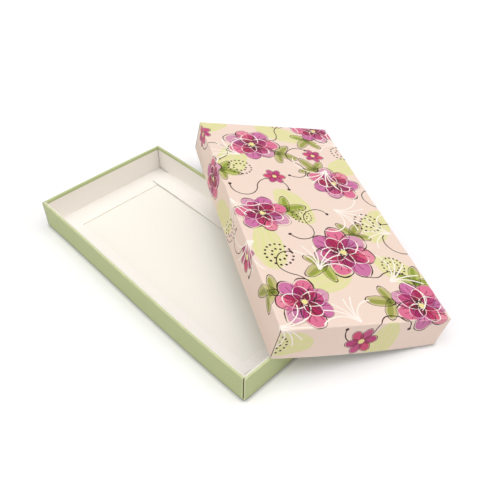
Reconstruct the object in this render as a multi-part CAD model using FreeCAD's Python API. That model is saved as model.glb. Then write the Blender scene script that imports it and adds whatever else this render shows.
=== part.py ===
import FreeCAD, Part
import math
import os

# Chocolate box of folded board: an open tray, with its lift-off lid leaning on it.
# Millimetres, Z up, X along the tray. The origin is the middle of the tray's underside.
# Each half is one blank with rolled-over double walls, and every panel between creases is a piece.

# Board that both halves are folded from
board = 0.5
# Dark slit that shows at each corner, between a wall's cut end and the tab folded in behind it
corner_slit = 0.15
# Room for that tab between the outer and the inner wall
tab_play = 0.05
# How far each mitred rim and inner wall stops short of its corner
mitre_gap = 0.2

# Tray, outside, and the breadth of its rolled rim
tray_length = 230.0
tray_width = 117.0
tray_height = 24.3
tray_rim = 2.4

# Flaps that lie on the floor, from the foot of the inner wall, and corner tabs
short_side_flap = 18.8
long_side_flap = 18.2
flap_overlap = 7.0
tab_reach = 18.0

# Lid: room around the tray, and above its rims when the closed lid stands on the table
lid_clearance = 0.3
lid_headroom = 1.1

# Lid as it leans: turn about Z in degrees, how far its near corner hangs past the tray's right
# wall and where along that wall, and the small gap over the rims that carry it
lid_turn = -29.7
lid_overhang = 0.8
lid_corner_offset = 37.1
seat_gap = 0.3

# Places of a double wall's layers, measured inwards from its outer face
tab_outside = board + corner_slit
tab_inside = tab_outside + board
wall_foot = tab_inside + tab_play + board

# The lid goes over the tray and shares its wall
lid_rim = wall_foot
lid_length = tray_length + 2 * (lid_clearance + lid_rim)
lid_width = tray_width + 2 * (lid_clearance + lid_rim)
lid_height = tray_height + lid_headroom + 3 * board

ORIGIN = FreeCAD.Vector(0, 0, 0)
ALONG = FreeCAD.Vector(1, 0, 0)
UP = FreeCAD.Vector(0, 0, 1)


def slab(x_limits, y_limits, z_limits):
    """A flat panel between its limits on the three axes."""
    corner = FreeCAD.Vector(x_limits[0], y_limits[0], z_limits[0])
    spans = [limits[1] - limits[0] for limits in (x_limits, y_limits, z_limits)]
    return Part.makeBox(*spans, corner)


def quarter_round(start, end, centre):
    """The rounded outside of a crease: a quarter circle from start to end."""
    radius = (start - centre).Length
    middle = centre + ((start + end) * 0.5 - centre).normalize() * radius
    return Part.Arc(start, middle, end).toShape()


def mitred(section, run, face_y, height):
    """A wall section drawn along its side, with both ends cut at 45 degrees just short of the corners."""
    reach = run / 2 - mitre_gap
    corners = [
        FreeCAD.Vector(-reach, face_y, 0),
        FreeCAD.Vector(reach, face_y, 0),
        FreeCAD.Vector(0, face_y + reach, 0),
    ]
    mitre = Part.Face(Part.makePolygon(corners + corners[:1])).extrude(UP * height)
    return section.extrude(ALONG * run).common(mitre).Solids[0]


def rolled_rim(run, face_y, height, rim):
    """The strip on top of a double wall, rounded where the board rolls over from wall to wall."""
    def point(inset, z):
        return FreeCAD.Vector(-run / 2, face_y + inset, z)
    foot = height - board
    edges = [
        Part.makeLine(point(0, foot), point(rim, foot)),
        quarter_round(point(rim, foot), point(rim - board, height), point(rim - board, foot)),
        Part.makeLine(point(rim - board, height), point(board, height)),
        quarter_round(point(board, height), point(0, foot), point(board, foot)),
    ]
    return mitred(Part.Face(Part.Wire(edges)), run, face_y, height)


def inner_wall(run, face_y, height, rim, foot_z):
    """The inner panel, from under the rim's inner edge down to the flap, leaning in to the wall's foot."""
    def point(inset, z):
        return FreeCAD.Vector(-run / 2, face_y + inset, z)
    outline = [
        point(wall_foot - board, foot_z),
        point(wall_foot, foot_z),
        point(rim, height - board),
        point(rim - board, height - board),
    ]
    section = Part.Face(Part.makePolygon(outline + outline[:1]))
    return mitred(section, run, face_y, height)


def corner_tab(side_end, face_y, height):
    """A long wall's end, folded in behind the short wall that starts at side_end."""
    inward = -math.copysign(1, side_end)
    def point(along, inset):
        return FreeCAD.Vector(side_end + inward * along, face_y + inset, board)
    edges = [
        quarter_round(point(board, tab_outside), point(0, tab_inside), point(board, tab_inside)),
        Part.makeLine(point(0, tab_inside), point(tab_reach, tab_inside)),
        Part.makeLine(point(tab_reach, tab_inside), point(tab_reach, tab_outside)),
        Part.makeLine(point(tab_reach, tab_outside), point(board, tab_outside)),
    ]
    return Part.Face(Part.Wire(edges)).extrude(UP * (height - 2 * board))


def long_side(length, width, height, rim):
    """The panels of the long side that faces -Y; its outer wall runs between the corner tabs."""
    face_y = -width / 2
    wall_end = length / 2 - tab_inside
    flap_end = length / 2 - (wall_foot + short_side_flap - flap_overlap)
    flap_limits = (face_y + wall_foot - board, face_y + wall_foot + long_side_flap)
    return {
        "outer_wall": slab((-wall_end, wall_end), (face_y, face_y + board), (board, height - board)),
        "rim": rolled_rim(length, face_y, height, rim),
        "inner_wall": inner_wall(length, face_y, height, rim, 3 * board),
        "flap": slab((-flap_end, flap_end), flap_limits, (2 * board, 3 * board)),
    }


def short_side(length, width, height, rim):
    """The panels of a short side, drawn facing -Y; its outer wall covers the tabs to the very corners."""
    face_y = -length / 2
    half_width = width / 2
    flap_end = half_width - wall_foot
    flap_limits = (face_y + wall_foot - board, face_y + wall_foot + short_side_flap)
    return {
        "outer_wall": slab((-half_width, half_width), (face_y, face_y + board), (board, height - board)),
        "rim": rolled_rim(width, face_y, height, rim),
        "inner_wall": inner_wall(width, face_y, height, rim, 2 * board),
        "flap": slab((-flap_end, flap_end), flap_limits, (board, 2 * board)),
        "first_tab": corner_tab(-half_width, face_y, height),
        "second_tab": corner_tab(half_width, face_y, height),
    }


def folded_box(length, width, height, rim, side_names):
    """All panels of one half, standing on its broad panel, with side_names from -Y anticlockwise."""
    panels = {"panel": slab((-length / 2, length / 2), (-width / 2, width / 2), (0, board))}
    for quarter, name in enumerate(side_names):
        before = side_names[quarter - 1]
        after = side_names[(quarter + 1) % len(side_names)]
        side = short_side if quarter % 2 else long_side
        for piece, shape in side(length, width, height, rim).items():
            words = {"first_tab": f"{before}_{name}_tab", "second_tab": f"{after}_{name}_tab"}
            panels[words.get(piece, f"{name}_{piece}")] = shape.rotated(ORIGIN, UP, 90 * quarter)
    return panels


def lid_place():
    """The lid mouth down, one long edge on the table and the other across two rims of the tray."""
    lean = math.asin((tray_height + seat_gap) / (lid_width - lid_rim))
    rounding = board * (math.sin(lean) + math.cos(lean) - 1)
    middle_z = lid_width / 2 * math.sin(lean) - rounding
    turn = FreeCAD.Rotation(UP, lid_turn)
    to_corner = turn.multVec(FreeCAD.Vector(lid_length / 2, -lid_width / 2 * math.cos(lean), 0))
    corner = FreeCAD.Vector(tray_length / 2 + lid_overhang, -lid_corner_offset, middle_z)
    leaning = FreeCAD.Placement(ORIGIN, FreeCAD.Rotation(ALONG, -math.degrees(lean)))
    mouth_down = FreeCAD.Placement(UP * lid_height, FreeCAD.Rotation(ALONG, 180))
    return FreeCAD.Placement(corner - to_corner, turn) * leaning * mouth_down


tray = folded_box(tray_length, tray_width, tray_height, tray_rim, ("front", "right", "back", "left"))
lid = folded_box(lid_length, lid_width, lid_height, lid_rim, ("back", "right", "front", "left"))

nodes = {}
for name, shape in tray.items():
    nodes["tray_floor" if name == "panel" else f"tray_{name}"] = shape
for name, shape in lid.items():
    node = "lid_top" if name == "panel" else f"lid_{name.replace('wall', 'skirt')}"
    nodes[node] = shape.transformed(lid_place().toMatrix())

os.makedirs("parts", exist_ok=True)
for node, shape in nodes.items():
    shape.exportStep(f"parts/{node}.step")
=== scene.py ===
import math
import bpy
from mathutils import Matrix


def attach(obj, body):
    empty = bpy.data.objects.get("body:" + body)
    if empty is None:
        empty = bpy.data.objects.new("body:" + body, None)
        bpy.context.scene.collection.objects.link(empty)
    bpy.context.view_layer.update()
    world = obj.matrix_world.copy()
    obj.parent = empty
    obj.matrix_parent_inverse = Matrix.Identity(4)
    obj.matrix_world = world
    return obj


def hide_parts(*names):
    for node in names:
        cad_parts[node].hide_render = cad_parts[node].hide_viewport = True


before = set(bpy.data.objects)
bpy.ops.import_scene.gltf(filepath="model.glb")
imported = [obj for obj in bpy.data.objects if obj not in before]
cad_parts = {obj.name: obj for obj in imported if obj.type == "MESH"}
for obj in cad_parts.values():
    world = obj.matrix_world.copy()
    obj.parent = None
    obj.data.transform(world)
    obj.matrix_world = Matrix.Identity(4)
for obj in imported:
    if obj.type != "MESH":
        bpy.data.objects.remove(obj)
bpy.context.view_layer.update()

from types import SimpleNamespace

import bmesh
import bpy
from mathutils import Matrix, Vector

bl_info = {
    "name": "Chocolate box",
    "version": (1, 0, 0),
    "blender": (4, 5, 0),
    "location": "View3D > Sidebar > Chocolate box",
    "description": "Folded-board chocolate box: an open green tray and a flower-printed lid leaning on it",
    "category": "Add Mesh",
}

MM = 0.001
BLANK_MAP = "flat blank"
# Points that are closer than this count as one
WELD = 0.01 * MM
# How much lower than its CAD solid a corner tab ends under the rim, its play behind the short wall,
# and the gap left between two inner walls
TAB_NOTCH = 1.0 * MM
TAB_PLAY = 0.1 * MM
INNER_GAP = 0.05 * MM
# Facets of a rounded fold, cuts along a side, cells of a broad panel, and the angle that makes an edge sharp
FOLD_STEPS = 5
SIDE_CUTS = 31
PANEL_CELLS = (26, 14)
SHARP_ANGLE = math.radians(40)
# Half the table's length in metres, how much the seen table is lifted towards white, and how far from the
# box the contact shade painted into its colour reaches
TABLE_HALF = 3.0
TABLE_LIFT = 0.065
CONTACT_REACH = 2.8 * MM
# Width of the camera's sensor in millimetres, and the nearest that it sees in metres
SENSOR_WIDTH = 36
NEAREST_SEEN = 0.01
# The soft lamps: where each one's light goes, and its share of the lamp level
OVERHEAD = "overhead lamp"
LAMPS = {
    OVERHEAD: ((0.0, 0.0, -1.0), 1.0),
    "left lamp": ((0.29, 0.57, -0.77), 0.77),
    "right lamp": ((-0.55, -0.36, -0.755), 0.80),
}
TRAY_SIDES = ("front", "right", "back", "left")
LID_SIDES = ("back", "right", "front", "left")
# Sockets of a Mix node for colours and for vectors, which share their names
MIX_FACTOR, MIX_A, MIX_B, MIX_RESULT = 0, 6, 7, 2
MIX_VECTOR_A, MIX_VECTOR_B, MIX_VECTOR_RESULT = 4, 5, 1


def linear(hex_code):
    """An sRGB hex colour as linear RGBA."""
    channels = [int(hex_code[i:i + 2], 16) / 255 for i in (1, 3, 5)]
    return (*[c / 12.92 if c <= 0.04045 else ((c + 0.055) / 1.055) ** 2.4 for c in channels], 1.0)


# The two halves as the frame holds them

def half_box(matrix, node):
    """Lowest and highest corner of a CAD node in the frame of its half, standing on its broad panel."""
    back = matrix.inverted()
    corners = [back @ vertex.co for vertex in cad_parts[node].data.vertices]
    low = Vector([min(c[i] for c in corners) for i in range(3)])
    high = Vector([max(c[i] for c in corners) for i in range(3)])
    return low, high


def lid_matrix():
    """Where the lid's broad panel lies: its own x along it, its own z into the lid's hollow."""
    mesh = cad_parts["lid_top"].data
    outward = max(mesh.polygons, key=lambda face: face.normal.z).normal.copy()
    highest = max(outward.dot(vertex.co) for vertex in mesh.vertices)
    face = [vertex.co for vertex in mesh.vertices if outward.dot(vertex.co) > highest - WELD]
    left_front = min(face, key=lambda corner: corner.x)
    right_front = min(face, key=lambda corner: corner.y)
    left_back = max(face, key=lambda corner: corner.y)
    along = (right_front - left_front).normalized()
    into = -outward
    turned = Matrix((along, into.cross(along), into)).transposed().to_4x4()
    return Matrix.Translation((right_front + left_back) / 2) @ turned


def measure_half(body, panel, wall, matrix, sides):
    """Sizes of the tray or the lid, read from its CAD nodes."""
    low, high = half_box(matrix, panel)
    half = SimpleNamespace(body=body, panel=panel, wall=wall, matrix=matrix, sides=sides)
    half.length, half.width, half.board = high - low
    rim_low, rim_high = half_box(matrix, f"{body}_{sides[0]}_rim")
    half.height = rim_high.z
    half.rim = rim_high.y - rim_low.y
    half.foot = half_box(matrix, f"{body}_{sides[0]}_inner_{wall}")[0].y + half.width / 2 + half.board
    half.mitre_gap = half.length / 2 - rim_high.x
    tab_low, tab_high = half_box(matrix, f"{body}_{sides[0]}_right_tab")
    half.tab_reach = tab_high.y - tab_low.y
    half.tab_high = tab_high.z - TAB_NOTCH
    half.flaps = []
    for name, axis in ((sides[0], 1), (sides[1], 0)):
        flap_low, flap_high = half_box(matrix, f"{body}_{name}_flap")
        reach = flap_high.y + half.width / 2 if axis else half.length / 2 - flap_low.x
        half.flaps.append(SimpleNamespace(top=flap_high.z, reach=reach, end=flap_high[1 - axis]))
    return half


TRAY = measure_half("tray", "tray_floor", "wall", Matrix.Identity(4), TRAY_SIDES)
LID = measure_half("lid", "lid_top", "skirt", lid_matrix(), LID_SIDES)


# Settings that a user would change

def length_setting(name, description, millimetres):
    """A length that a user may change, given in millimetres."""
    return bpy.props.FloatProperty(
        name=name, description=description, default=millimetres * MM, precision=5, unit="LENGTH")


def colour_setting(name, description, hex_code):
    """A colour that a user may change, given as sRGB hex."""
    return bpy.props.FloatVectorProperty(
        name=name, description=description, default=linear(hex_code), size=4, min=0, max=1, subtype="COLOR")


class BoardSettings(bpy.types.PropertyGroup):
    """How the folded board bends, and how far its print goes."""
    crease: length_setting("Crease radius", "Outside radius of a folded edge", 0.8)
    rim_round: length_setting("Rim rounding", "Outside radius of the tray's rolled rim", 1.2)
    corner_fold: length_setting("Corner fold", "Outside radius of a long wall's fold at a corner", 0.6)
    corner_slit: length_setting("Corner slit", "How far a corner stands open before the short wall", 0.9)
    foot_round: length_setting(
        "Foot rounding", "Outside radius of the fold between the tray's floor and walls", 1.4)
    tray_long_bow: length_setting("Tray long wall bow", "How far a long tray wall bulges out midway", 1.0)
    bow_skew: bpy.props.FloatProperty(
        name="Bow skew", description="How much more a long tray wall bulges at its right end, from outside",
        default=1.4)
    tray_short_bow: length_setting("Tray short wall bow", "How far a short tray wall bulges out midway", 0.5)
    lid_front_bow: length_setting("Lid propped skirt bow", "How far the propped long skirt bulges out", 1.2)
    lid_end_bow: length_setting("Lid end skirt bow", "How far a short lid skirt's edge bulges midway", 2.0)
    lid_crown: length_setting("Lid crown", "How far the lid's top stands up in its middle", 0.6)
    flap_lift: length_setting("Flap lift", "How far the free edge of a back flap springs up", 0.5)
    print_overlap: length_setting("Print overlap", "How far the print goes past the rim, on average", 0.7)


class ColourSettings(bpy.types.PropertyGroup):
    """Printing inks and boards."""
    green: colour_setting("Tray green", "Ink outside the tray", "#BFCA97")
    # The worn green and worn pink are also a painted highlight along the rim's crease
    worn_and_highlit_green: colour_setting("Worn green", "Tray ink along a crease", "#E6EAC2")
    coat: colour_setting("Coating", "White coating inside, beyond the print", "#FBF8F4")
    cream: colour_setting("Reverse", "Uncoated back of the board", "#F6F4EE")
    pulp: colour_setting("Pulp", "Cut edge of the board", "#D9D7C4")
    pink: colour_setting("Lid pink", "Ground of the lid's print", "#F2DDD2")
    worn_and_highlit_pink: colour_setting("Worn pink", "Lid print along a crease", "#FBEFE8")
    dab: colour_setting("Brush dab", "Broad pale green dabs", "#E2E1A2")
    leaf: colour_setting("Leaf", "Leaf green, doubled where it overlaps", "#CBD79B")
    magenta: colour_setting("Magenta petal", "First petal ink", "#D786CC")
    rose: colour_setting("Rose petal", "Second petal ink", "#E884B8")
    lilac: colour_setting("Lilac petal", "Third petal ink", "#E2B4E0")
    blush: colour_setting("Blush petal", "Fourth petal ink", "#F1A4C8")
    pen: colour_setting("Pen", "Fine outlines, stems and dots", "#3A1408")
    vein: colour_setting("Vein", "Fine veins in the petals", "#C4659B")
    middle: colour_setting("Blossom middle", "Disc in a blossom's middle", "#EEE39A")
    # The two slit colours are painted shade, multiplied onto the tabs deep in the corner slits
    slit: colour_setting("Tray slit", "Deep shade on the tabs behind the tray's corner slits", "#8F9648")
    lid_slit: colour_setting("Lid slit", "Deep shade on the tabs behind the lid's corner slits", "#94685C")
    white: colour_setting("White line", "Fine grass blades and petal lines", "#FDF6F0")


class StageSettings(bpy.types.PropertyGroup):
    """Camera, light and table."""
    camera_place: bpy.props.FloatVectorProperty(
        name="Camera place", description="Where the camera stands, in the tray's frame",
        default=(246.3 * MM, -193.5 * MM, 315.6 * MM), unit="LENGTH", subtype="TRANSLATION")
    camera_azimuth: bpy.props.FloatProperty(
        name="Azimuth", description="Turn of the view about the vertical, from looking along +Y",
        default=math.radians(43.90), subtype="ANGLE")
    camera_elevation: bpy.props.FloatProperty(
        name="Elevation", description="How far the camera looks down",
        default=math.radians(44.21), subtype="ANGLE")
    camera_roll: bpy.props.FloatProperty(
        name="Roll", description="Turn of the camera about its line of sight",
        default=math.radians(-1.556), subtype="ANGLE")
    lens: bpy.props.FloatProperty(
        name="Lens", description="Focal length on a 36 mm sensor, in millimetres",
        default=40.9, unit="CAMERA")
    sky: bpy.props.FloatProperty(
        name="Sky level", description="Soft light from all round", default=0.22)
    lamp: bpy.props.FloatProperty(
        name="Lamp level", description="Soft light of the overhead lamp, in W/m2; the others follow it",
        default=1.29)
    lamp_spread: bpy.props.FloatProperty(
        name="Lamp spread", description="How wide a soft lamp looks from the box",
        default=math.radians(60), subtype="ANGLE")
    sky_colour: colour_setting("Sky colour", "Warm light from all round that fills the shadows", "#FFF0DE")
    overhead_colour: colour_setting("Overhead colour", "Faintly cool light of the overhead lamp", "#F0F6FF")
    side_colour: colour_setting("Side colour", "Faintly warm light of the side lamps", "#FFF9ED")
    table: colour_setting("Table", "White table top", "#F9FAFF")


# Names of the materials, by which a later operator finds them
GREEN = "Green printed boxboard"
FLORAL = "Flower printed boxboard"
REVERSE = "Uncoated boxboard reverse"
CUT = "Cut boxboard edge"

# Sizes of the boards' patterns, in millimetres. Real fibres are finer than a pixel, and are drawn coarser
# so that they show
FIBRE_SIZE = 1.3
WAVE_SIZE = 24
SCUFF_SIZE = 4
TABLE_GRAIN = 6
# How high the waves and the fibres stand, and how much the fibres change the roughness either way
WAVE_RELIEF = 0.12 * MM
FIBRE_RELIEF = 0.03 * MM
ROUGHNESS_SPREAD = 0.06
# On the flat blank, in millimetres: how far before the box's corner the worn fold of a long wall and the
# worn end of a short wall lie, and how far up a side their wear begins
LONG_WALL_FOLD = 2.1
SHORT_WALL_END = 0.2
UPRIGHT_START = 1.0
# How far before the box's corner a tab begins, and how far past both creases the painted shade on it begins
TAB_START = 2.0
TAB_SHADE = 0.5
# Width over which the print fades out
PRINT_FADE = 0.2
# How far the printing plate sat off the creases, along and across the blank
PRINT_SHIFT = (-1.8, 1.8)

# Half the width of a stem or a blade, in its motif's radii
LINE = 0.017
# Veins round a blossom, half their width and where they start and end, in its radii
VEINS = 21
VEIN_WIDTH = 0.014
VEIN_REACH = (0.3, 0.82)
# Length in millimetres over which a blossom's pen line swells and thins
PEN_STROKE = 9
# The lid's motifs on the flat blank: x and y from the middle in millimetres, turn in degrees, and radius
BLOSSOMS = (
    (-84, 22, 12, 23), (-30, -34, 70, 21), (8, 40, 200, 20), (52, -8, 130, 24), (96, 38, 300, 20),
    (104, -44, 170, 21), (-112, -46, 40, 20), (-52, 74, 330, 17), (28, -78, 220, 17),
)
FLORETS = (
    (-38, 16, 95, 9), (46, 68, 60, 10), (76, -70, 10, 10), (-70, -30, 110, 9), (132, 2, 140, 11),
    (-102, 64, 10, 10), (-60, -80, 30, 10), (-14, -78, 75, 10),
)
SPRIGS = (
    (-72, 2, -60, 18), (-49, -24, 150, 18), (4, 20, -100, 17), (64, 13, 60, 18), (34, -23, 220, 17),
    (86, 56, 120, 18), (100, -23, 100, 18), (84, -51, 200, 17), (-96, -33, 40, 18), (-46, 58, -70, 16),
)
DABS = (
    (-60, 46, 20, 24), (-104, -8, 120, 22), (-56, -56, 60, 22), (0, 12, 160, 23), (24, -48, 35, 22),
    (44, 46, 5, 23), (78, 14, 70, 20), (74, -44, 140, 22), (130, 56, 90, 20), (-116, 50, 50, 21),
    (136, -14, 10, 20), (-10, 78, 170, 20), (-30, -82, 15, 21), (-136, -40, 80, 18),
)
RINGS = (
    (-50, 42, 0, 10), (20, -42, 30, 11), (67, -41, 15, 9), (52, 41, 10, 11), (-76, -60, 25, 10),
    (-122, -10, 5, 9), (130, 62, 40, 9), (8, 77, 20, 9), (12, 10, 35, 8), (104, -76, 0, 9),
)
STEMS = (
    (-58, -10, 35, 25), (-24, 34, 100, 25), (22, 8, 60, 23), (72, 36, 10, 23), (76, -28, 140, 24),
    (-104, -6, 80, 24), (0, -60, 20, 24), (122, -6, 95, 24), (-84, 60, 170, 24), (54, -62, 340, 24),
    (36, 72, 190, 22), (-44, -70, 200, 22),
)
GRASSES = (
    (-66, 34, 30, 28), (-52, -36, 300, 30), (2, -16, 210, 30), (36, 52, 330, 30), (84, -28, 150, 29),
    (118, 4, 60, 28), (-112, -2, 100, 28), (-14, 62, 260, 26), (34, -60, 20, 26), (112, 66, 200, 26),
    (72, 18, 110, 28), (-84, -66, 40, 26),
)


# Materials

def add_node(tree, kind, inputs=None, **settings):
    """Add a node with its settings and its inputs, linked or set; gives its outputs."""
    node = tree.nodes.new(kind)
    for name, value in settings.items():
        setattr(node, name, value)
    for socket, value in (inputs or {}).items():
        if isinstance(value, bpy.types.NodeSocket):
            tree.links.new(value, node.inputs[socket])
        else:
            node.inputs[socket].default_value = value
    return node.outputs


def start_material(name):
    """An empty node material; gives the material and its tree."""
    material = bpy.data.materials.new(name)
    material.use_nodes = True
    material.node_tree.nodes.clear()
    return material, material.node_tree


def wavered(tree, position, size, amount):
    """Places shifted by soft noise of the given size, so that what is drawn on them looks drawn by hand."""
    noise = add_node(tree, "ShaderNodeTexNoise", {
        "Vector": position, "Scale": 1 / size, "Detail": 1.0})["Color"]
    centred = add_node(tree, "ShaderNodeVectorMath", {
        0: noise, 1: (0.5, 0.5, 0.5)}, operation="SUBTRACT")[0]
    steps = {0: centred, 1: (2 * amount, 2 * amount, 0), 2: position}
    return add_node(tree, "ShaderNodeVectorMath", steps, operation="MULTIPLY_ADD")[0]


def overprinted(tree, colour, layers):
    """Inks laid one after another on a colour: each as far as its mask says, see-through or covering."""
    for ink, mask, blend in layers:
        colour = add_node(tree, "ShaderNodeMix", {MIX_FACTOR: mask, MIX_A: colour, MIX_B: ink},
                          data_type="RGBA", blend_type=blend)[MIX_RESULT]
    return colour


def joined(tree, masks):
    """One mask of several: the highest of them."""
    result = masks[0]
    for mask in masks[1:]:
        result = add_node(tree, "ShaderNodeMath", {0: result, 1: mask}, operation="MAXIMUM")[0]
    return result


def beyond_creases(tree, position, half, shift):
    """How far a place on the blank lies outside the broad panel, past its ends and past its long sides."""
    moved = add_node(tree, "ShaderNodeVectorMath", {0: position, 1: (*shift, 0)}, operation="SUBTRACT")[0]
    sizes = add_node(tree, "ShaderNodeVectorMath", {0: moved}, operation="ABSOLUTE")[0]
    edges = (half.length / MM / 2, half.width / MM / 2, 0)
    outside = add_node(tree, "ShaderNodeVectorMath", {0: sizes, 1: edges}, operation="SUBTRACT")[0]
    parts = add_node(tree, "ShaderNodeSeparateXYZ", {0: outside})
    return [parts[0], parts[1]]


def crease_wear_and_highlight(tree, position, half, beyond):
    """Where the print is paler: in scuffed bands of wear along the creases, the rim and the upright folds,
    the rim's band being partly a painted highlight.
    """
    outwards = joined(tree, beyond)
    scuffs = add_node(tree, "ShaderNodeTexNoise", {
        "Vector": position, "Scale": 1 / SCUFF_SIZE, "Detail": 3.0})["Fac"]
    scuffed = add_node(tree, "ShaderNodeMapRange", {
        "Value": scuffs, "From Min": 0.3, "From Max": 0.65, "To Min": 0.45, "To Max": 1.0})[0]
    on_side = add_node(tree, "ShaderNodeMath", {0: outwards, 1: UPRIGHT_START}, operation="GREATER_THAN")[0]
    # Distance, where the crease lies along it, how wide and how strong its pale band is, and where it counts
    bands = (
        (outwards, 0, 0.8, 0.35, 1.0),
        # At the rim the pale band is partly wear and partly a painted highlight on the rolled rim
        (outwards, half.height / MM, 1.6, 0.9, 1.0),
        (beyond[0], -LONG_WALL_FOLD, 0.5, 0.9, on_side),
        (beyond[1], -SHORT_WALL_END, 0.7, 0.9, on_side),
    )
    wear = []
    for distance, crease, width, strength, counted in bands:
        off = add_node(tree, "ShaderNodeMath", {0: distance, 1: crease}, operation="SUBTRACT")[0]
        near = add_node(tree, "ShaderNodeMath", {0: off}, operation="ABSOLUTE")[0]
        band = add_node(tree, "ShaderNodeMapRange", {
            "Value": near, "From Min": width, "From Max": 0.0, "To Max": strength})[0]
        wear.append(add_node(tree, "ShaderNodeMath", {0: band, 1: counted}, operation="MULTIPLY")[0])
    return add_node(tree, "ShaderNodeMath", {0: joined(tree, wear), 1: scuffed}, operation="MULTIPLY")[0]


def folded_print(tree, position, half, inks, scene):
    """Printed colour outside and over the rim, white coating inside, paler along the creases with wear and a
    painted highlight at the rim, and a painted shade on the tabs in the corner slits.
    """
    printed, wear_and_highlight_ink, slit = inks
    beyond = beyond_creases(tree, position, half, (0, 0))
    worn_and_highlit = crease_wear_and_highlight(tree, position, half, beyond)
    # Only the tabs lie beyond both creases; they show deep in the corner slits, where little light comes, and
    # get a painted shade there
    past_fold = add_node(tree, "ShaderNodeMath", {0: beyond[0], 1: TAB_START}, operation="ADD")[0]
    behind = add_node(tree, "ShaderNodeMath", {0: past_fold, 1: beyond[1]}, operation="MINIMUM")[0]
    painted_tab_shade = add_node(tree, "ShaderNodeMath", {0: behind, 1: TAB_SHADE}, operation="GREATER_THAN")[0]
    print_end = (half.height + half.rim + scene.chocolate_box_board.print_overlap) / MM
    beyond_print = joined(tree, beyond_creases(tree, position, half, PRINT_SHIFT))
    inside = add_node(tree, "ShaderNodeMapRange", {
        "Value": beyond_print, "From Min": print_end, "From Max": print_end + PRINT_FADE})[0]
    coat = scene.chocolate_box_colours.coat
    layers = [(wear_and_highlight_ink, worn_and_highlit, "MIX"), (slit, painted_tab_shade, "MULTIPLY"), (coat, inside, "MIX")]
    return overprinted(tree, printed, layers)


def board_surface(tree, position, colour, roughness, fibre):
    """Board under its colour: fibres that mottle it and stand up a little, and a broad soft unevenness."""
    fibres = add_node(tree, "ShaderNodeTexNoise", {
        "Vector": position, "Scale": 1 / FIBRE_SIZE, "Detail": 4.0, "Roughness": 0.65})["Fac"]
    shade = add_node(tree, "ShaderNodeMapRange", {
        "Value": fibres, "From Min": 0.25, "From Max": 0.75, "To Min": 1 - fibre, "To Max": 1.0})[0]
    mottled = overprinted(tree, colour, [(shade, 1.0, "MULTIPLY")])
    waves = add_node(tree, "ShaderNodeTexNoise", {
        "Vector": position, "Scale": 1 / WAVE_SIZE, "Detail": 1.0})["Fac"]
    low = add_node(tree, "ShaderNodeBump", {"Height": waves, "Strength": 0.35, "Distance": WAVE_RELIEF})[0]
    fine = add_node(tree, "ShaderNodeBump", {
        "Height": fibres, "Strength": 0.3, "Distance": FIBRE_RELIEF, "Normal": low})[0]
    rough = add_node(tree, "ShaderNodeMapRange", {
        "Value": fibres, "To Min": roughness - ROUGHNESS_SPREAD, "To Max": roughness + ROUGHNESS_SPREAD})[0]
    shader = add_node(tree, "ShaderNodeBsdfPrincipled", {
        "Base Color": mottled, "Roughness": rough, "IOR": 1.35, "Normal": fine})
    add_node(tree, "ShaderNodeOutputMaterial", {"Surface": shader[0]})


def green_board(scene):
    """Folding boxboard printed a flat spring green: matt, with a soft shine, paler where it is creased, with
    a painted highlight along the rim.
    """
    material, tree = start_material(GREEN)
    colours = scene.chocolate_box_colours
    position = add_node(tree, "ShaderNodeUVMap", uv_map=BLANK_MAP)["UV"]
    inks = (colours.green, colours.worn_and_highlit_green, colours.slit)
    colour = folded_print(tree, position, TRAY, inks, scene)
    board_surface(tree, position, colour, roughness=0.55, fibre=0.08)
    return material


def reverse_board(scene):
    """The board's uncoated back: cream, matt, with pulp fibres showing."""
    material, tree = start_material(REVERSE)
    position = add_node(tree, "ShaderNodeUVMap", uv_map=BLANK_MAP)["UV"]
    board_surface(tree, position, scene.chocolate_box_colours.cream, roughness=0.75, fibre=0.045)
    return material


def object_millimetres(tree):
    """Places in the part's own frame, in millimetres."""
    position = add_node(tree, "ShaderNodeTexCoord")["Object"]
    return add_node(tree, "ShaderNodeVectorMath", {0: position, "Scale": 1 / MM}, operation="SCALE")[0]


def cut_board(scene):
    """A cut edge of the board: grey-cream pulp layers, quite matt."""
    material, tree = start_material(CUT)
    position = object_millimetres(tree)
    board_surface(tree, position, scene.chocolate_box_colours.pulp, roughness=0.85, fibre=0.16)
    return material


def backdrop_seen(tree):
    """1 for a ray that shows the backdrop, straight or by a reflection, and 0 for one that lights the box."""
    path = add_node(tree, "ShaderNodeLightPath")
    return joined(tree, [path["Is Camera Ray"], path["Is Glossy Ray"], path["Is Transmission Ray"]])


def table_top(colour):
    """A white laminate table: near-white, matt, plain white to the camera where nothing shades it, and with a
    contact shade painted into its colour close to the box.
    """
    material, tree = start_material("White laminate table")
    position = object_millimetres(tree)
    grain = add_node(tree, "ShaderNodeTexNoise", {
        "Vector": position, "Scale": 1 / TABLE_GRAIN, "Detail": 2.0})["Fac"]
    shade = add_node(tree, "ShaderNodeMapRange", {"Value": grain, "To Min": 0.985, "To Max": 1.0})[0]
    seen = backdrop_seen(tree)
    # Painted contact shade: occlusion near the box darkens the colour that the camera sees
    painted_contact_shade = add_node(tree, "ShaderNodeAmbientOcclusion", {"Distance": CONTACT_REACH}, samples=8)["AO"]
    mottled = overprinted(tree, colour, [(shade, 1.0, "MULTIPLY"), (painted_contact_shade, seen, "MULTIPLY")])
    matt = add_node(tree, "ShaderNodeBsdfDiffuse", {"Color": mottled})[0]
    lifted = add_node(tree, "ShaderNodeMath", {0: seen, 1: TABLE_LIFT}, operation="MULTIPLY")[0]
    glow = add_node(tree, "ShaderNodeEmission", {"Color": (1, 1, 1, 1), "Strength": lifted})[0]
    both = add_node(tree, "ShaderNodeAddShader", {0: matt, 1: glow})[0]
    add_node(tree, "ShaderNodeOutputMaterial", {"Surface": both})
    return material


# The lid's print: blossoms, florets, sprigs of leaves, brush dabs, stems, dotted rings and grasses

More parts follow.
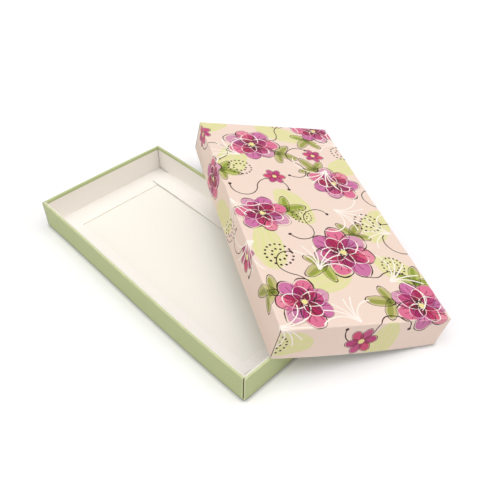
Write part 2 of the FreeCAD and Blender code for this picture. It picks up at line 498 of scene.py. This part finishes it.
def nearest_motif(tree, position, places):
    """A place on the blank as seen from the nearest of several motifs, in that motif's radii."""
    laid, size, distance = None, None, None
    for x, y, turn, radius in places:
        spot = (x, y, math.radians(turn))
        away = add_node(tree, "ShaderNodeVectorMath", {
            0: position, 1: (x, y, 0)}, operation="DISTANCE")["Value"]
        if distance is None:
            laid, size, distance = spot, radius, away
            continue
        closer = add_node(tree, "ShaderNodeMath", {0: away, 1: distance}, operation="LESS_THAN")[0]
        mixed = {MIX_FACTOR: closer, MIX_VECTOR_A: laid, MIX_VECTOR_B: spot}
        laid = add_node(tree, "ShaderNodeMix", mixed, data_type="VECTOR")[MIX_VECTOR_RESULT]
        size = add_node(tree, "ShaderNodeMix", {
            MIX_FACTOR: closer, "A": size, "B": radius}, data_type="FLOAT")[0]
        distance = add_node(tree, "ShaderNodeMath", {0: away, 1: distance}, operation="MINIMUM")[0]
    middle = add_node(tree, "ShaderNodeVectorMath", {0: laid, 1: (1, 1, 0)}, operation="MULTIPLY")[0]
    turned = add_node(tree, "ShaderNodeVectorMath", {0: laid, 1: (0, 0, 1)}, operation="MULTIPLY")[0]
    return add_node(tree, "ShaderNodeMapping", {
        "Vector": position, "Location": middle, "Rotation": turned, "Scale": size},
        vector_type="TEXTURE")[0]


def petal(tree, local, place, size, line=(1.06, 0.05)):
    """An oval petal or leaf at a place and turn: masks of its surface and of the loose line round it.

    The line is given by how far out it lies and half its width, both in the oval's own radii.
    """
    x, y, turn = place
    inside = add_node(tree, "ShaderNodeMapping", {
        "Vector": local, "Location": (x, y, 0), "Rotation": (0, 0, turn), "Scale": (*size, 1)},
        vector_type="TEXTURE")[0]
    reach = add_node(tree, "ShaderNodeVectorMath", {0: inside}, operation="LENGTH")["Value"]
    surface = add_node(tree, "ShaderNodeMapRange", {"Value": reach, "From Min": 1.0, "From Max": 0.94})[0]
    at, width = line
    outline = add_node(tree, "ShaderNodeMath", {0: reach, 1: at, 2: width}, operation="COMPARE")[0]
    return surface, outline


def from_spokes(tree, local, count):
    """How far a place lies from a motif's middle, and its angle from the nearest of evenly spaced spokes."""
    parts = add_node(tree, "ShaderNodeSeparateXYZ", {0: local})
    angle = add_node(tree, "ShaderNodeMath", {0: parts[1], 1: parts[0]}, operation="ARCTAN2")[0]
    reach = add_node(tree, "ShaderNodeVectorMath", {0: local}, operation="LENGTH")["Value"]
    step = math.pi / count
    from_spoke = add_node(tree, "ShaderNodeMath", {0: angle, 1: step, 2: -step}, operation="WRAP")[0]
    return reach, from_spoke


def dotted_ring(tree, local, radius, count, dot):
    """A ring of evenly spaced dots round a motif's middle."""
    reach, from_dot = from_spokes(tree, local, count)
    along = add_node(tree, "ShaderNodeMath", {0: from_dot, 1: radius}, operation="MULTIPLY")[0]
    across = add_node(tree, "ShaderNodeMath", {0: reach, 1: radius}, operation="SUBTRACT")[0]
    offset = add_node(tree, "ShaderNodeCombineXYZ", {0: along, 1: across})[0]
    size = add_node(tree, "ShaderNodeVectorMath", {0: offset}, operation="LENGTH")["Value"]
    return add_node(tree, "ShaderNodeMath", {0: size, 1: dot}, operation="LESS_THAN")[0]


def petal_veins(tree, local):
    """Fine lines that run outwards over a blossom's petals."""
    reach, from_vein = from_spokes(tree, local, VEINS)
    aside = add_node(tree, "ShaderNodeMath", {0: from_vein, 1: reach}, operation="MULTIPLY")[0]
    vein = add_node(tree, "ShaderNodeMath", {0: aside, 1: 0.0, 2: VEIN_WIDTH}, operation="COMPARE")[0]
    start, end = VEIN_REACH
    middle, half = (start + end) / 2, (end - start) / 2
    band = add_node(tree, "ShaderNodeMath", {0: reach, 1: middle, 2: half}, operation="COMPARE")[0]
    return add_node(tree, "ShaderNodeMath", {0: vein, 1: band}, operation="MULTIPLY")[0]


def arc(tree, local, centre, radius, side):
    """Half a circle of a fine line, above (1) or below (-1) a motif's own axis."""
    reach = add_node(tree, "ShaderNodeVectorMath", {
        0: local, 1: (centre, 0, 0)}, operation="DISTANCE")["Value"]
    circle = add_node(tree, "ShaderNodeMath", {0: reach, 1: radius, 2: LINE}, operation="COMPARE")[0]
    height = add_node(tree, "ShaderNodeVectorMath", {
        0: local, 1: (0, side, 0)}, operation="DOT_PRODUCT")["Value"]
    half = add_node(tree, "ShaderNodeMath", {0: height, 1: 0.0}, operation="GREATER_THAN")[0]
    return add_node(tree, "ShaderNodeMath", {0: circle, 1: half}, operation="MULTIPLY")[0]


def print_dabs(tree, colour, position, inks):
    """Broad pale dabs of a loaded brush, with paler streaks along them."""
    local = nearest_motif(tree, wavered(tree, position, size=14, amount=2.0), DABS)
    dab, _ = petal(tree, local, (0, 0, 0), (1.0, 0.52))
    streaks = add_node(tree, "ShaderNodeTexWave", {
        "Vector": local, "Scale": 1.1, "Distortion": 2.5, "Detail": 1.0}, bands_direction="Y")["Fac"]
    strength = add_node(tree, "ShaderNodeMapRange", {"Value": streaks, "To Min": 0.72, "To Max": 1.0})[0]
    amount = add_node(tree, "ShaderNodeMath", {0: dab, 1: strength}, operation="MULTIPLY")[0]
    return overprinted(tree, colour, [(inks.dab, amount, "MIX")])


def print_leaves(tree, colour, position, inks):
    """Sprigs of three rounded leaves, each doubled along its middle, with a loose pen line round it."""
    local = nearest_motif(tree, wavered(tree, position, size=9, amount=0.9), SPRIGS)
    lines = []
    for x, y, turn, length in ((0.42, 0.0, 0.0, 0.55), (0.1, 0.33, 1.1, 0.46), (0.1, -0.36, -1.25, 0.5)):
        leaf, line = petal(tree, local, (x, y, turn), (length, length * 0.42), (1.08, 0.05))
        middle, _ = petal(tree, local, (x + 0.05, y - 0.04, turn), (length * 0.86, length * 0.2))
        colour = overprinted(tree, colour, [(inks.leaf, leaf, "MULTIPLY"), (inks.leaf, middle, "MULTIPLY")])
        lines = [joined(tree, [*lines, line])]
    return overprinted(tree, colour, [(inks.pen, lines[0], "MIX")])


def print_stems(tree, colour, position, inks):
    """Thin stems of a pen, each bent twice, with a bead at either end."""
    local = nearest_motif(tree, wavered(tree, position, size=30, amount=3.0), STEMS)
    marks = [
        arc(tree, local, centre=-0.5, radius=0.5, side=1),
        arc(tree, local, centre=0.45, radius=0.45, side=-1),
    ]
    for end in (-1.0, 0.9):
        bead, _ = petal(tree, local, (end, 0, 0), (0.055, 0.055))
        marks.append(bead)
    return overprinted(tree, colour, [(inks.pen, joined(tree, marks), "MIX")])


def print_blossoms(tree, colour, position, inks):
    """Full open blossoms: rings of see-through petals, outlined by a loose pen and inside in white."""
    local = nearest_motif(tree, wavered(tree, position, size=10, amount=1.6), BLOSSOMS)
    tints = (inks.magenta, inks.rose, inks.lilac, inks.blush)
    pressure = add_node(tree, "ShaderNodeTexNoise", {
        "Vector": position, "Scale": 1 / PEN_STROKE, "Detail": 0.0})["Fac"]
    line_width = add_node(tree, "ShaderNodeMapRange", {
        "Value": pressure, "From Min": 0.35, "From Max": 0.65, "To Min": 0.012, "To Max": 0.06})[0]
    # Number of petals, turn of the first, how far out they sit, half length, half width, ink of their lines
    rings = ((7, 0.0, 0.56, 0.46, 0.34, inks.pen), (5, 0.4, 0.34, 0.36, 0.27, inks.white),
             (3, 0.9, 0.16, 0.22, 0.17, inks.pen))
    drawn = []
    for ring, (count, start, offset, length, width, line_ink) in enumerate(rings):
        petals = []
        for number in range(count):
            turn = start + 2 * math.pi * number / count
            place = (offset * math.cos(turn), offset * math.sin(turn), turn)
            longer = 1 + 0.09 * (number * 2 % 3 - 1)
            line = (1.0 + 0.07 * (number % 3), line_width)
            petals.append(petal(tree, local, place, (length * longer, width), line))
        if not drawn:
            # Leaves and dabs are left out under a blossom, as a printer's plates do
            cleared = joined(tree, [item[0] for item in petals])
            colour = overprinted(tree, colour, [(inks.pink, cleared, "MIX")])
        inked = [(tints[(ring + number) % 4], item[0], "MULTIPLY") for number, item in enumerate(petals)]
        colour = overprinted(tree, colour, inked)
        drawn.append((line_ink, joined(tree, [item[1] for item in petals]), "MIX"))
    colour = overprinted(tree, colour, [(inks.vein, petal_veins(tree, local), "MULTIPLY"), *drawn])
    middle, _ = petal(tree, local, (0, 0, 0), (0.11, 0.11))
    dots = dotted_ring(tree, local, radius=0.18, count=10, dot=0.028)
    return overprinted(tree, colour, [(inks.middle, middle, "MIX"), (inks.pen, dots, "MIX")])


def print_florets(tree, colour, position, inks):
    """Small six-petalled florets in rose and blush."""
    local = nearest_motif(tree, wavered(tree, position, size=6, amount=0.6), FLORETS)
    tints = (inks.blush, inks.lilac, inks.magenta)
    petals = []
    for number in range(6):
        turn = math.pi * number / 3
        place = (0.58 * math.cos(turn), 0.58 * math.sin(turn), turn)
        petals.append(petal(tree, local, place, (0.42, 0.3), (1.1, 0.06)))
    layers = [(inks.pink, joined(tree, [item[0] for item in petals]), "MIX")]
    for number, (surface, _) in enumerate(petals):
        layers += [(tints[number % 3], surface, "MULTIPLY"), (inks.rose, surface, "MULTIPLY")]
    layers.append((inks.pen, joined(tree, [item[1] for item in petals]), "MIX"))
    middle, _ = petal(tree, local, (0, 0, 0), (0.2, 0.2))
    return overprinted(tree, colour, [*layers, (inks.middle, middle, "MIX")])


def print_rings(tree, colour, position, inks):
    """Dotted double rings of a fine pen."""
    local = nearest_motif(tree, wavered(tree, position, size=16, amount=0.8), RINGS)
    dots = [dotted_ring(tree, local, radius, count, dot=0.085) for radius, count in ((0.92, 17), (0.48, 9))]
    return overprinted(tree, colour, [(inks.pen, joined(tree, dots), "MIX")])


def print_grasses(tree, colour, position, inks):
    """Fans of fine white grass blades, each an arc that leaves the same root."""
    local = nearest_motif(tree, wavered(tree, position, size=20, amount=1.2), GRASSES)
    distance = add_node(tree, "ShaderNodeVectorMath", {0: local}, operation="LENGTH")["Value"]
    bends = (-0.5, -0.95, 2.6, 1.05, 0.62, -1.9)
    blades = [arc(tree, local, centre=bend, radius=abs(bend), side=1) for bend in bends]
    # They start a little off the root and end at the motif's radius
    near = add_node(tree, "ShaderNodeMath", {0: distance, 1: 0.57, 2: 0.43}, operation="COMPARE")[0]
    amount = add_node(tree, "ShaderNodeMath", {0: joined(tree, blades), 1: near}, operation="MULTIPLY")[0]
    return overprinted(tree, colour, [(inks.white, amount, "MIX")])


def floral_board(scene):
    """Folding boxboard printed in flowers on pale pink and varnished: semi-matt, with crisp edges of ink."""
    material, tree = start_material(FLORAL)
    colours = scene.chocolate_box_colours
    position = add_node(tree, "ShaderNodeUVMap", uv_map=BLANK_MAP)["UV"]
    colour = colours.pink
    layers = (
        print_dabs, print_stems, print_leaves, print_blossoms, print_florets, print_rings, print_grasses)
    for layer in layers:
        colour = layer(tree, colour, position, colours)
    colour = folded_print(tree, position, LID, (colour, colours.worn_and_highlit_pink, colours.lid_slit), scene)
    board_surface(tree, position, colour, roughness=0.45, fibre=0.04)
    return material


# Pieces

def finish_piece(bm, name, half, materials, replaced):
    """Put a sheet in its half's place, give it the board's thickness and let it ride on its body."""
    bmesh.ops.transform(bm, matrix=half.matrix, verts=bm.verts)
    mesh = bpy.data.meshes.new(name)
    bm.to_mesh(mesh)
    bm.free()
    for material in materials:
        mesh.materials.append(material)
    piece = bpy.data.objects.new(name, mesh)
    bpy.context.scene.collection.objects.link(piece)
    solidify = piece.modifiers.new("Board", "SOLIDIFY")
    solidify.thickness = half.board
    solidify.offset = -1
    solidify.use_even_offset = True
    solidify.material_offset = 1
    solidify.material_offset_rim = 2
    thick = bpy.data.meshes.new_from_object(piece.evaluated_get(bpy.context.evaluated_depsgraph_get()))
    piece.modifiers.clear()
    piece.data = thick
    bpy.data.meshes.remove(mesh)
    thick.name = name
    thick.shade_smooth()
    thick.set_sharp_from_angle(angle=SHARP_ANGLE)
    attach(piece, half.body)
    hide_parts(*replaced)
    return piece


def bow_share(along, skew):
    """How far a bowed line bulges out, from none at its ends (-1 and 1) to about 1 in its middle."""
    return max(1 - along ** 2, 0) * (1 + skew * along)


def broad_panel(half, name, crease, crown, bows, materials):
    """The tray's floor or the lid's top: a sheet with its edges rounded into the creases."""
    bm = bmesh.new()
    bmesh.ops.create_grid(bm, x_segments=PANEL_CELLS[0], y_segments=PANEL_CELLS[1], size=0.5)
    bmesh.ops.scale(bm, vec=(half.length, half.width, 1), verts=bm.verts)
    outline = [edge for edge in bm.edges if edge.is_boundary]
    rising = bmesh.ops.extrude_edge_only(bm, edges=outline)["geom"]
    risen = [item for item in rising if isinstance(item, bmesh.types.BMVert)]
    bmesh.ops.translate(bm, vec=(0, 0, crease), verts=risen)
    bmesh.ops.bevel(bm, geom=outline, offset=crease, segments=FOLD_STEPS, profile=0.5,
                    affect="EDGES", material=-1)
    bmesh.ops.remove_doubles(bm, verts=bm.verts, dist=WELD)
    bmesh.ops.recalc_face_normals(bm, faces=bm.faces)
    flat = max(bm.faces, key=lambda face: face.calc_area())
    if flat.normal.z > 0:
        bmesh.ops.reverse_faces(bm, faces=bm.faces)
    uv_layer = bm.loops.layers.uv.new(BLANK_MAP)
    for face in bm.faces:
        sideways = max((0, 1), key=lambda axis: abs(face.normal[axis]))
        for loop in face.loops:
            place = [loop.vert.co.x, loop.vert.co.y]
            place[sideways] += math.copysign(loop.vert.co.z, place[sideways])
            loop[uv_layer].uv = (place[0] / MM, place[1] / MM)
    long_bow, short_bow, skew = bows
    for vert in bm.verts:
        along, across = 2 * vert.co.x / half.length, 2 * vert.co.y / half.width
        vert.co.z -= crown * bow_share(along, 0) * bow_share(across, 0)
        vert.co.x += short_bow * along * bow_share(across, 0)
        vert.co.y += long_bow * across * bow_share(along, -skew * across)
    return finish_piece(bm, name, half, materials, [half.panel])


def corner_fold(bm, half, end, start, fold, depth):
    """A long wall's end, folded round the corner into the tab that goes in behind the short wall."""
    wall_end = [edge for edge in bm.edges if all(
        abs(end * vert.co.x - start) < WELD and vert.co.y + depth < WELD for vert in edge.verts)]
    spun = bmesh.ops.spin(bm, geom=wall_end, cent=(end * start, fold - depth, 0), axis=(0, 0, end),
                          angle=math.radians(90), steps=FOLD_STEPS)["geom_last"]
    row = [item for item in spun if isinstance(item, bmesh.types.BMEdge)]
    snug = half.length / 2 - half.board - TAB_PLAY
    for inset in (half.foot, half.tab_reach):
        grown = bmesh.ops.extrude_edge_only(bm, edges=row)["geom"]
        ends = [item for item in grown if isinstance(item, bmesh.types.BMVert)]
        for vert in ends:
            vert.co = (end * snug, inset - depth, vert.co.z)
        row = [bm.edges.get(ends)]
    uv_layer = bm.loops.layers.uv[BLANK_MAP]
    for face in bm.faces:
        if end * face.calc_center_median().x <= start or face.calc_center_median().z > half.tab_high:
            continue
        for loop in face.loops:
            inset = loop.vert.co.y + depth
            angle = math.atan2(end * loop.vert.co.x - start, max(fold - inset, 0))
            distance = start + fold * angle + max(inset - fold, 0)
            loop[uv_layer].uv = (end * distance / MM, (-depth - loop.vert.co.z) / MM)


def strip_lines(half, run, flap, wall_end, foot_fold):
    """Each line across a side's strip: its inset, height, half length and distance along the flat blank."""
    rim, foot = half.rim, half.foot
    inner_end = run / 2 - foot - INNER_GAP
    wall_foot = half.height + rim + math.hypot(rim - foot, half.height - flap.top)
    return [
        (0, foot_fold, wall_end, foot_fold),
        (0, half.tab_high, wall_end, half.tab_high),
        (0, half.height, run / 2 - half.mitre_gap, half.height),
        (rim, half.height, run / 2 - rim - half.mitre_gap, half.height + rim),
        (foot, flap.top, inner_end, wall_foot),
        (flap.reach, flap.top, inner_end, wall_foot + flap.reach - foot),
    ]


def draw_strip(lines, depth):
    """A strip of board from line to line, mapped as it lies on the flat blank, and cut into short lengths."""
    bm = bmesh.new()
    unfolded = {}
    edge = None
    for inset, height, end, distance in lines:
        if edge is None:
            ends = [bm.verts.new((-1, 0, 0)), bm.verts.new((1, 0, 0))]
            edge = bm.edges.new(ends)
        else:
            grown = bmesh.ops.extrude_edge_only(bm, edges=[edge])["geom"]
            ends = [item for item in grown if isinstance(item, bmesh.types.BMVert)]
            edge = bm.edges.get(ends)
        for vert in ends:
            vert.co = (math.copysign(end, vert.co.x), inset - depth, height)
            unfolded[vert] = distance
    bm.normal_update()
    bm.faces.ensure_lookup_table()
    if bm.faces[0].normal.y > 0:
        bmesh.ops.reverse_faces(bm, faces=bm.faces)
    uv_layer = bm.loops.layers.uv.new(BLANK_MAP)
    for face in bm.faces:
        for loop in face.loops:
            loop[uv_layer].uv = (loop.vert.co.x / MM, (-depth - unfolded[loop.vert]) / MM)
    lengthwise = [e for e in bm.edges if unfolded[e.verts[0]] == unfolded[e.verts[1]]]
    bmesh.ops.subdivide_edges(bm, edges=lengthwise, cuts=SIDE_CUTS, use_grid_fill=True)
    return bm


def trim_flap(bm, flap, wall_foot, inner_end):
    """Cut off the ends of a flap that is shorter than its inner wall."""
    for place in (-flap.end, flap.end):
        if abs(place) < inner_end:
            everything = bm.verts[:] + bm.edges[:] + bm.faces[:]
            bmesh.ops.bisect_plane(bm, geom=everything, plane_co=(place, 0, 0), plane_no=(1, 0, 0))
    beyond = [f for f in bm.faces if f.calc_center_median().y > wall_foot + MM
              and abs(f.calc_center_median().x) > flap.end]
    bmesh.ops.delete(bm, geom=beyond, context="FACES")


def round_folds(bm, lines, depth, radii):
    """Round a strip's creases, each with its own radius."""
    for (inset, height, *_), radius in zip(lines, radii):
        at_crease = [e for e in bm.edges if len(e.link_faces) == 2 and all(
            abs(v.co.y + depth - inset) < WELD and abs(v.co.z - height) < WELD for v in e.verts)]
        bmesh.ops.bevel(bm, geom=at_crease, offset=radius, segments=FOLD_STEPS, profile=0.5,
                        affect="EDGES", material=-1, clamp_overlap=True)


def turn_side(bm, quarter):
    """Turn a side that is drawn in front, and its map, to where they belong."""
    turn = Matrix.Rotation(math.radians(90 * quarter), 3, "Z")
    bmesh.ops.rotate(bm, verts=bm.verts, matrix=turn)
    uv_layer = bm.loops.layers.uv[BLANK_MAP]
    for face in bm.faces:
        for loop in face.loops:
            place = turn @ loop[uv_layer].uv.to_3d()
            loop[uv_layer].uv = place.xy


def folded_side(half, quarter, name, bows, lift, board, materials):
    """One side of a half: outer wall, rolled rim, inner wall and flap as one folded strip."""
    is_short = quarter % 2
    crease = board.crease
    foot_fold, rim_round = (board.foot_round, board.rim_round) if half is TRAY else (crease, crease)
    run, depth = (half.width, half.length / 2) if is_short else (half.length, half.width / 2)
    wall_end = run / 2 if is_short else run / 2 - half.board - board.corner_slit - board.corner_fold
    flap = half.flaps[is_short]
    lines = strip_lines(half, run, flap, wall_end, foot_fold)
    bm = draw_strip(lines, depth)
    inner_end = lines[-1][2]
    trim_flap(bm, flap, half.foot - depth, inner_end)
    round_folds(bm, lines[2:-1], depth, (rim_round, crease, crease))
    parts = [f"outer_{half.wall}", "rim", f"inner_{half.wall}", "flap"]
    if not is_short:
        for end in (-1, 1):
            corner_fold(bm, half, end, wall_end, board.corner_fold, depth)
        parts += ["left_tab", "right_tab"]
    foot_bow, rim_bow, skew = bows
    for vert in bm.verts:
        share = bow_share(2 * vert.co.x / run, skew)
        along_flap = max(vert.co.y + depth - half.foot - crease, 0) / (flap.reach - half.foot - crease)
        if vert.co.z < flap.top + crease:
            vert.co.z += lift * along_flap
        rise = max(vert.co.z - foot_fold, 0) / half.height
        vert.co.y -= share * (foot_bow + (rim_bow - foot_bow) * rise)
    turn_side(bm, quarter)
    side = half.sides[quarter]
    return finish_piece(bm, name, half, materials, [f"{half.body}_{side}_{part}" for part in parts])


def board_faces(printed, scene):
    """The three faces of a printed board: print, reverse and cut edge, each made only once."""
    made = bpy.data.materials
    name, maker = printed
    return [made.get(name) or maker(scene), made.get(REVERSE) or reverse_board(scene),
            made.get(CUT) or cut_board(scene)]


class CHOCOLATE_BOX_OT_tray_floor(bpy.types.Operator):
    """Make the tray's floor"""
    bl_idname = "chocolate_box.tray_floor"
    bl_label = "Tray floor"

    def execute(self, context):
        board = context.scene.chocolate_box_board
        materials = board_faces((GREEN, green_board), context.scene)
        floor = broad_panel(
            TRAY, "tray_floor_panel", board.foot_round, 0,
            (board.tray_long_bow, board.tray_short_bow, board.bow_skew), materials)
        return {"FINISHED"}


class CHOCOLATE_BOX_OT_tray_sides(bpy.types.Operator):
    """Fold the tray's four sides"""
    bl_idname = "chocolate_box.tray_sides"
    bl_label = "Tray sides"

    def execute(self, context):
        board = context.scene.chocolate_box_board
        materials = board_faces((GREEN, green_board), context.scene)
        # Bow at the foot, bow at the rim, and skew
        long_bows = (board.tray_long_bow, board.tray_long_bow, board.bow_skew)
        short_bows = (board.tray_short_bow, board.tray_short_bow, 0)
        for quarter, side in enumerate(TRAY.sides):
            bows = short_bows if quarter % 2 else long_bows
            lift = board.flap_lift if side == "back" else 0
            piece = folded_side(TRAY, quarter, f"tray_{side}_side", bows, lift, board, materials)
        return {"FINISHED"}


class CHOCOLATE_BOX_OT_lid_top(bpy.types.Operator):
    """Make the lid's top"""
    bl_idname = "chocolate_box.lid_top"
    bl_label = "Lid top"

    def execute(self, context):
        board = context.scene.chocolate_box_board
        materials = board_faces((FLORAL, floral_board), context.scene)
        top = broad_panel(LID, "lid_top_panel", board.crease, board.lid_crown, (0, 0, 0), materials)
        return {"FINISHED"}


class CHOCOLATE_BOX_OT_lid_sides(bpy.types.Operator):
    """Fold the lid's four skirts"""
    bl_idname = "chocolate_box.lid_sides"
    bl_label = "Lid skirts"

    def execute(self, context):
        board = context.scene.chocolate_box_board
        materials = board_faces((FLORAL, floral_board), context.scene)
        # The back skirt's edge lies straight on the table
        edge_bows = {
            "front": board.lid_front_bow, "back": 0, "left": board.lid_end_bow, "right": board.lid_end_bow}
        for quarter, side in enumerate(LID.sides):
            lift = board.flap_lift if side == "back" else 0
            bows = (0, edge_bows[side], 0)
            piece = folded_side(LID, quarter, f"lid_{side}_side", bows, lift, board, materials)
        return {"FINISHED"}


# Stage

def set_table(scene, settings):
    """A broad table top under the box."""
    bm = bmesh.new()
    bmesh.ops.create_grid(bm, x_segments=1, y_segments=1, size=TABLE_HALF)
    mesh = bpy.data.meshes.new("table")
    bm.to_mesh(mesh)
    bm.free()
    mesh.materials.append(table_top(settings.table))
    table = bpy.data.objects.new("table", mesh)
    scene.collection.objects.link(table)


def set_sky(scene, settings):
    """A world that is white where it is seen or mirrored, and only a soft fill where it lights the box."""
    world = bpy.data.worlds.new("studio")
    world.use_nodes = True
    tree = world.node_tree
    tree.nodes.clear()
    seen = backdrop_seen(tree)
    tint = overprinted(tree, settings.sky_colour, [((1, 1, 1, 1), seen, "MIX")])
    level = add_node(tree, "ShaderNodeMapRange", {"Value": seen, "To Min": settings.sky, "To Max": 1.0})[0]
    sky = add_node(tree, "ShaderNodeBackground", {"Color": tint, "Strength": level})
    add_node(tree, "ShaderNodeOutputWorld", {"Surface": sky[0]})
    scene.world = world


def set_lamps(scene, settings):
    """Soft lamps overhead and at both sides."""
    for name, (direction, share) in LAMPS.items():
        lamp = bpy.data.lights.new(name, "SUN")
        lamp.energy = settings.lamp * share
        lamp.angle = settings.lamp_spread
        tint = settings.overhead_colour if name == OVERHEAD else settings.side_colour
        lamp.color = tint[:3]
        softbox = bpy.data.objects.new(name, lamp)
        softbox.rotation_euler = Vector(direction).to_track_quat("-Z", "Y").to_euler()
        scene.collection.objects.link(softbox)


def set_camera(scene, settings):
    """The camera, standing and turned as the settings say."""
    azimuth, elevation = settings.camera_azimuth, settings.camera_elevation
    look = Vector((-math.sin(azimuth) * math.cos(elevation), math.cos(azimuth) * math.cos(elevation),
                   -math.sin(elevation)))
    unrolled = look.cross(Vector((0, 0, 1))).normalized()
    right = Matrix.Rotation(settings.camera_roll, 3, look) @ unrolled
    turned = Matrix((right, right.cross(look), -look)).transposed().to_4x4()
    lens = bpy.data.cameras.new("camera")
    lens.sensor_width = SENSOR_WIDTH
    lens.lens = settings.lens
    lens.clip_start = NEAREST_SEEN
    camera = bpy.data.objects.new("camera", lens)
    camera.matrix_world = Matrix.Translation(settings.camera_place) @ turned
    scene.collection.objects.link(camera)
    scene.camera = camera


class CHOCOLATE_BOX_OT_stage(bpy.types.Operator):
    """Set the table, the light and the camera"""
    bl_idname = "chocolate_box.stage"
    bl_label = "Table, light and camera"

    def execute(self, context):
        scene = context.scene
        settings = scene.chocolate_box_stage
        scene.view_settings.view_transform = "Standard"
        set_table(scene, settings)
        set_sky(scene, settings)
        set_lamps(scene, settings)
        set_camera(scene, settings)
        return {"FINISHED"}


class CHOCOLATE_BOX_PT_panel(bpy.types.Panel):
    """The box's pieces and settings"""
    bl_idname = "CHOCOLATE_BOX_PT_panel"
    bl_label = "Chocolate box"
    bl_space_type = "VIEW_3D"
    bl_region_type = "UI"
    bl_category = "Chocolate box"

    def draw(self, context):
        for operator in OPERATORS:
            self.layout.operator(operator.bl_idname)
        for group in SETTINGS:
            settings = getattr(context.scene, group)
            column = self.layout.column()
            for name in settings.bl_rna.properties.keys():
                if name not in {"rna_type", "name"}:
                    column.prop(settings, name)


OPERATORS = (
    CHOCOLATE_BOX_OT_tray_floor,
    CHOCOLATE_BOX_OT_tray_sides,
    CHOCOLATE_BOX_OT_lid_top,
    CHOCOLATE_BOX_OT_lid_sides,
    CHOCOLATE_BOX_OT_stage,
)
SETTINGS = {
    "chocolate_box_board": BoardSettings,
    "chocolate_box_colours": ColourSettings,
    "chocolate_box_stage": StageSettings,
}
CLASSES = (*SETTINGS.values(), *OPERATORS, CHOCOLATE_BOX_PT_panel)


def register():
    """Add the settings, the operators and the panel to Blender."""
    for cls in CLASSES:
        bpy.utils.register_class(cls)
    for name, group in SETTINGS.items():
        setattr(bpy.types.Scene, name, bpy.props.PointerProperty(type=group))


def unregister():
    """Take them out again."""
    for name in SETTINGS:
        delattr(bpy.types.Scene, name)
    for cls in reversed(CLASSES):
        bpy.utils.unregister_class(cls)


def main():
    """Make the box and its stage."""
    register()
    bpy.ops.chocolate_box.tray_floor()
    bpy.ops.chocolate_box.tray_sides()
    bpy.ops.chocolate_box.lid_top()
    bpy.ops.chocolate_box.lid_sides()
    bpy.ops.chocolate_box.stage()


if __name__ == "__main__":
    main()
